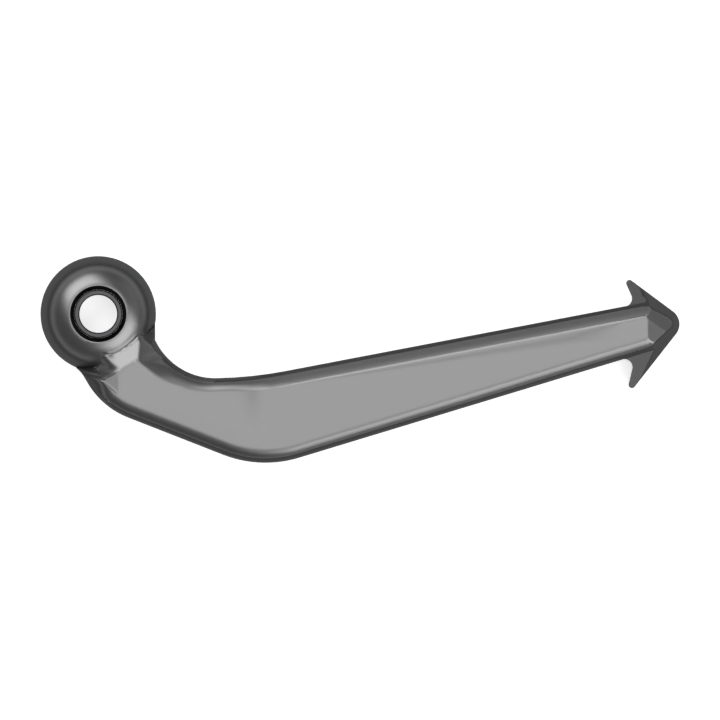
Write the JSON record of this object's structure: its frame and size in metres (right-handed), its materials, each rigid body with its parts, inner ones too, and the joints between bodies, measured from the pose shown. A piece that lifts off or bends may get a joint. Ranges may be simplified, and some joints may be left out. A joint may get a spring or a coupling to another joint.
{
  "type": "motorcycle brake lever guard",
  "caption": "Flat bent guard arm that shields a brake lever: a domed round eye with a metal bush for the bar-end bolt at one end, an arrow-shaped nose at the other.",
  "frame": {"origin": "on the axis of the bolt hole, in the flat back face of the eye", "axes": "+Z along the bolt axis out of the front face, +X towards the arrow-shaped nose, +Y towards the eye's side, away from the outer elbow of the arm"},
  "size_m": [0.1597, 0.0516, 0.012],
  "materials": {
    "guard": "dark grey satin moulded plastic with a fine even grain",
    "bush": "dark anodised, turned, satin"
  },
  "bodies": {
    "root": {"guard": "guard", "bush": "bush"}
  },
  "joints": []
}
